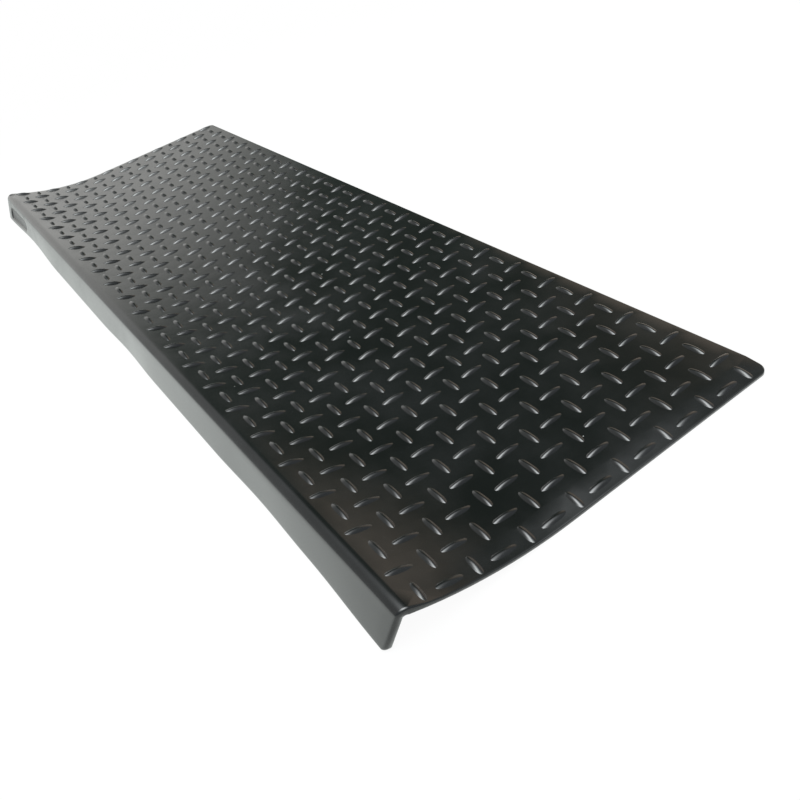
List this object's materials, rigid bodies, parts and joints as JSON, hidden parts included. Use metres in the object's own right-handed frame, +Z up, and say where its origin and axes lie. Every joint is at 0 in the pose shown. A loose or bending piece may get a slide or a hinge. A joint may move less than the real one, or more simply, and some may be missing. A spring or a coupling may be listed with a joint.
{
  "type": "stair tread mat",
  "caption": "Long thin rubber sheet with a field of raised grip ridges in alternating directions and a turned-down front lip that hooks over the nosing of a stair.",
  "frame": {"origin": "middle of the part in plan, at the floor that it lies on", "axes": "+X along the length of the stair, +Y from the nose to the back edge, +Z up"},
  "size_m": [0.7556, 0.2564, 0.0233],
  "materials": {
    "rubber": "semi-gloss moulded black"
  },
  "bodies": {
    "root": {"tread_mat": "rubber"}
  },
  "joints": []
}
